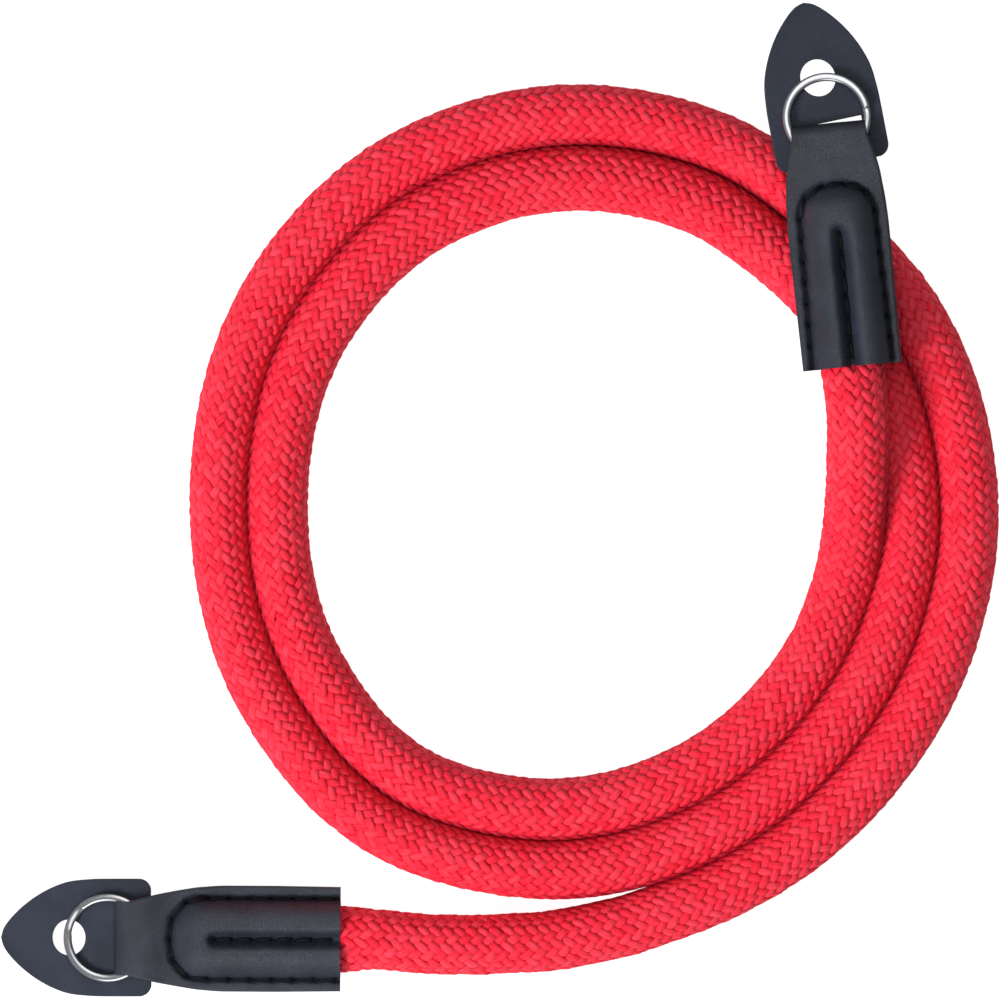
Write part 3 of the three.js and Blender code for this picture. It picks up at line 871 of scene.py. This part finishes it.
def makePatch(name, end):
    length = end["patchLength"]
    thick = leaf["thickness"] / 2
    rim = leaf["rimRound"]
    t = np.linspace(0, math.pi, leaf["rows"])
    places = 0.02 + (length - 0.05) * (1 - np.cos(t)) / 2
    across = np.sin(np.linspace(-math.pi / 2, math.pi / 2, leaf["places"]))
    place = patchPlace(end)
    rings = []
    for along in places:
        half = max(float(leafHalf(end, along)), 0.05)
        drop = end["patchCurl"] * np.interp(along / length, (0, 0.5, 0.75, 1.1), (0, 0, 0.3, 1.3))
        points = []
        for sign, shares in ((1, across), (-1, across[::-1])):
            for s in shares:
                side = s * half
                fromEdge = min(half - abs(side), along, length - along)
                inward = min(fromEdge / rim, 1)
                z = sign * (thick - rim * (1 - math.sqrt(1 - (1 - inward) ** 2)))
                wave = leaf["wave"] * noise.noise(Vector((along * 0.12 + end["seed"], side * 0.14, 5)))
                if end["wrinkle"]:
                    spot, outer, inner = end["wrinkle"]
                    depth, width = leaf["wrinkle"]
                    reach = float(ease(-side, -inner, -outer))
                    reach = 1 - reach if sign < 0 else reach
                    wave -= depth * math.exp(-((along - spot - 0.05 * side) / width) ** 2) * reach
                points.append((along, side, z - drop + wave * ease(along, 6, 12)))
        rings.append(points)
    bm = bmesh.new()
    loftRings(bm, [[(place @ Vector(p)) * mm for p in ring] for ring in rings])
    patch = finishMesh(bm, name)
    cutAway(patch, [makeHoleCutter(end, place), makeSlotCutter(end, place)])
    setSharp(patch)
    return patch


def makeHoleCutter(end, place):
    bm = bmesh.new()
    bmesh.ops.create_cone(bm, cap_ends=True, segments=64, radius1=0.5 * mm, radius2=0.5 * mm, depth=8 * mm)
    spot = (place @ Vector((end["patchLength"] - end["holeToTip"], 0, 0))) * mm
    oval = Matrix.Diagonal((*end["hole"], 1, 1))
    bmesh.ops.transform(bm, matrix=Matrix.Translation(spot) @ place.to_3x3().to_4x4() @ oval, verts=bm.verts)
    return finishMesh(bm, "hole")


def makeSlotCutter(end, place):
    back, front, side = slotReach(end)
    outline = [(back, -side), (back, side), (front, side), (front + end["slotSlant"], -side)]
    bm = bmesh.new()
    loftRings(bm, [[(place @ Vector((x, y, z))) * mm for x, y in outline] for z in (-4, 4)])
    return finishMesh(bm, "slot")


# split rings: one flat wire wound twice

splitRing = {"outer": 7.375, "width": 1.3, "coil": 0.58, "gap": 0.04, "forward": 1.0, "middle": 0.675,
             "ramp": 36, "power": 2.2, "steps": 250, "corners": 24}


def makeRing(name, end):
    width, coil = splitRing["width"], splitRing["coil"]
    centreRadius = splitRing["outer"] - width / 2
    level = (coil + splitRing["gap"]) / 2
    ramp, power = splitRing["ramp"], 2 / splitRing["power"]
    section = []
    for q in np.linspace(0, 2 * math.pi, splitRing["corners"], endpoint=False):
        c, s = math.cos(q), math.sin(q)
        across = math.copysign(abs(c) ** power, c)
        upward = math.copysign(abs(s) ** power, s)
        section.append((width / 2 * across, coil / 2 * upward))
    place = frontPlace(end) @ Matrix.Translation(
        (end["frontLength"] + splitRing["forward"], 0, splitRing["middle"]))
    rings = []
    start, finish = ramp * 0.55, 720 - ramp * 0.55
    for angle in np.linspace(start, finish, splitRing["steps"]):
        z = mix(-level, level, float(ease(angle, 360 - ramp / 2, 360 + ramp / 2)))
        a = math.radians(end["wind"] * angle + end["split"])
        ends = min(angle - start, finish - angle)
        slim = 0.75 + 0.25 * float(ease(ends, 0, 4))
        rings.append([
            (place @ Vector(((centreRadius + x * slim) * math.cos(a), (centreRadius + x * slim) * math.sin(a),
                             z + y * slim))) * mm
            for x, y in section
        ])
    bm = bmesh.new()
    loftRings(bm, rings)
    return finishMesh(bm, name)


def makeLeather(name, dark, light, grain, roughness, sheen):
    # smooth full-grain leather, dyed charcoal: fine pores and creases, with a soft low gloss
    material, tree, shader = newMaterial(name)
    place = addNode(tree, "ShaderNodeTexCoord")
    pores = addNode(tree, "ShaderNodeTexVoronoi", {"Vector": place.outputs["Object"],
                                                   "Scale": 1 / (grain * mm)}, feature="DISTANCE_TO_EDGE")
    cells = addNode(tree, "ShaderNodeMapRange", {"Value": pores.outputs["Distance"], "From Max": 0.16})
    creases = addNode(tree, "ShaderNodeTexNoise", {"Vector": place.outputs["Object"], "Scale": 1 / (1.1 * mm),
                                                   "Detail": 4.0, "Roughness": 0.6})
    cloud = addNode(tree, "ShaderNodeTexNoise", {"Vector": place.outputs["Object"], "Scale": 1 / (7 * mm),
                                                 "Detail": 2.0})
    both = addNode(tree, "ShaderNodeMath", {0: cells.outputs["Result"], 1: creases.outputs["Fac"]},
                   operation="ADD")
    bump = addNode(tree, "ShaderNodeBump", {"Height": both.outputs["Value"], "Strength": 0.5,
                                            "Distance": 0.06 * mm})
    tint = addNode(tree, "ShaderNodeMapRange", {"Value": cloud.outputs["Fac"], "From Min": 0.35,
                                                "From Max": 0.65})
    colour = addNode(tree, "ShaderNodeMix", {"Factor": tint.outputs["Result"], "A": linearColour(dark),
                                             "B": linearColour(light)}, data_type="RGBA")
    gloss = addNode(tree, "ShaderNodeMapRange", {"Value": creases.outputs["Fac"], "From Min": 0.3,
                                                 "From Max": 0.7, "To Min": roughness - 0.05,
                                                 "To Max": roughness + 0.07})
    tree.links.new(colour.outputs["Result"], shader.inputs["Base Color"])
    tree.links.new(gloss.outputs["Result"], shader.inputs["Roughness"])
    tree.links.new(bump.outputs["Normal"], shader.inputs["Normal"])
    shader.inputs["Specular IOR Level"].default_value = sheen
    return material


def makeThreadMaterial():
    # bonded nylon thread, black: tight and matt, so that only its outline shows
    material, tree, shader = newMaterial("bonded_thread")
    place = addNode(tree, "ShaderNodeTexCoord")
    twist = addNode(tree, "ShaderNodeTexNoise", {"Vector": place.outputs["Object"], "Scale": 1 / (0.25 * mm)})
    colour = addNode(tree, "ShaderNodeMix", {"Factor": twist.outputs["Fac"], "A": linearColour("#08090c"),
                                             "B": linearColour("#15171c")}, data_type="RGBA")
    tree.links.new(colour.outputs["Result"], shader.inputs["Base Color"])
    shader.inputs["Roughness"].default_value = 0.75
    shader.inputs["Specular IOR Level"].default_value = 0.3
    return material


def makeRingMaterial():
    # nickel plated spring steel, drawn and polished: bright, with faint marks along the wire
    material, tree, shader = newMaterial("nickel_plated_wire")
    place = addNode(tree, "ShaderNodeTexCoord")
    marks = addNode(tree, "ShaderNodeTexNoise", {"Vector": place.outputs["Object"], "Scale": 1 / (0.6 * mm),
                                                 "Detail": 3.0})
    gloss = addNode(tree, "ShaderNodeMapRange", {"Value": marks.outputs["Fac"], "To Min": 0.12,
                                                 "To Max": 0.26})
    colour = addNode(tree, "ShaderNodeMix", {"Factor": marks.outputs["Fac"], "A": linearColour("#c9cacc"),
                                             "B": linearColour("#dcdde0")}, data_type="RGBA")
    tree.links.new(colour.outputs["Result"], shader.inputs["Base Color"])
    tree.links.new(gloss.outputs["Result"], shader.inputs["Roughness"])
    shader.inputs["Metallic"].default_value = 1.0
    return material


stripLeather = makeLeather("smooth_strip_leather", "#242731", "#2c303b", 0.42, 0.4, 0.85)
patchLeather = makeLeather("matt_patch_leather", "#2c303b", "#333743", 0.38, 0.5, 0.32)
threadMaterial = makeThreadMaterial()
ringMaterial = makeRingMaterial()

for letter, end in endTabs.items():
    made = (
        (makeTab(f"leather_tab_{letter}", end), stripLeather, f"end_tab_{letter}", "strip_leather"),
        (makeThread(f"seam_thread_{letter}", end), threadMaterial, None, "strip_leather"),
        (makePatch(f"leather_leaf_{letter}", end), patchLeather, f"patch_{letter}", "patch_leather"),
        (makeRing(f"split_ring_{letter}", end), ringMaterial, f"ring_{letter}", "ring_steel"),
    )
    for piece, material, node, slotName in made:
        piece.data.materials.clear()
        piece.data.materials.append(material)
        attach(piece, "root")
        if node:
            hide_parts(node)
    print("end", letter, "ready")


# floor and light

room = {
    "floorDrop": 0.2 * mm,
    "floorColour": (0.3, 0.3, 0.3, 1),
    "floorGlow": 0.94,         # keeps the surface a plain white
    "air": (0.95, 0.97, 1, 1),
    "lightestSide": (-0.6, -0.3, 0.5),
    "levels": (0.06, 0.3),     # of the light all round, from its darkest side to its lightest
    # place in metres, size, power and whether glossy surfaces mirror it
    "lights": {
        "key": ((-0.8, -0.5, 0.84), 0.5, 17.2, False),
        "sheen": ((0.0, 0.34, 1.34), 0.8, 1.8, True),
        "far_panel": ((0.05, 0.8, 1.05), 0.7, 1.2, True),
        "near_panel": ((-0.1, -0.85, 1.0), 0.75, 2.6, True),
    },
}


def makeStage():
    bm = bmesh.new()
    bmesh.ops.create_grid(bm, x_segments=1, y_segments=1, size=3)
    floor = finishMesh(bm, "floor", smooth=False)
    floor.location.z = -room["floorDrop"]
    material, tree, shader = newMaterial("white_surface")
    shader.inputs["Base Color"].default_value = room["floorColour"]
    shader.inputs["Roughness"].default_value = 1.0
    shader.inputs["Specular IOR Level"].default_value = 0.0
    shader.inputs["Emission Color"].default_value = (1, 1, 1, 1)
    shader.inputs["Emission Strength"].default_value = room["floorGlow"]
    floor.data.materials.append(material)
    floor.visible_glossy = False

    # a dim room, lightest high up on the left
    world = bpy.data.worlds.new("soft_room")
    world.use_nodes = True
    tree = world.node_tree
    place = addNode(tree, "ShaderNodeTexCoord")
    lean = addNode(tree, "ShaderNodeVectorMath", {0: place.outputs["Generated"], 1: room["lightestSide"]},
                   operation="DOT_PRODUCT")
    low, high = room["levels"]
    level = addNode(tree, "ShaderNodeMapRange", {"Value": lean.outputs["Value"], "From Min": -0.7,
                                                 "From Max": 0.7, "To Min": low, "To Max": high})
    background = tree.nodes["Background"]
    tree.links.new(level.outputs["Result"], background.inputs["Strength"])
    background.inputs["Color"].default_value = room["air"]
    scene.world = world

    for name, (place, size, power, mirrored) in room["lights"].items():
        light = bpy.data.lights.new(name, "AREA")
        light.shape = "DISK"
        light.size = size
        light.energy = power
        holder = bpy.data.objects.new(name, light)
        holder.location = place
        holder.visible_glossy = mirrored
        holder.visible_camera = False
        holder.rotation_euler = (-Vector(place)).to_track_quat("-Z", "Y").to_euler()
        scene.collection.objects.link(holder)


makeStage()
scene.view_settings.view_transform = "Standard"
print("stage ready")

bpy.context.view_layer.update()
